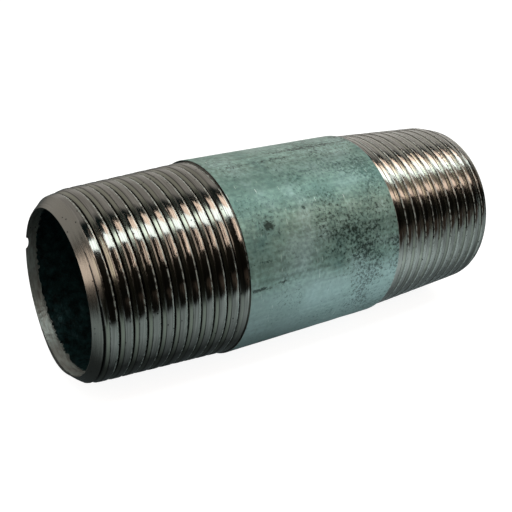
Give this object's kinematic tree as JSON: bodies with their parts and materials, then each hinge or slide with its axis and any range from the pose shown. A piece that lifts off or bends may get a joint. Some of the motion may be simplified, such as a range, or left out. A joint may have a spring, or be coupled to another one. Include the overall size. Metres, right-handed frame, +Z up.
{
  "type": "threaded pipe nipple",
  "caption": "Short galvanised steel pipe nipple: a taper pipe thread cut on each end and a plain zinc-coated barrel between them, for joining two female fittings.",
  "frame": {"origin": "on the pipe's centre line, half way between the two rims", "axes": "+X along the pipe, +Y across it, +Z up as it lies on its side"},
  "size_m": [0.081, 0.0336, 0.0336],
  "materials": {
    "cut_steel": "die-cut bare steel with cutting oil left on it",
    "outer_zinc": "hot-dip galvanised, weathered to a mottled grey-green",
    "bore_zinc": "hot-dip galvanised, dark and uneven inside the bore"
  },
  "bodies": {
    "root": {"steel_pipe": "cut_steel", "outer_zinc_coat": "outer_zinc", "bore_zinc_coat": "bore_zinc"}
  },
  "joints": []
}
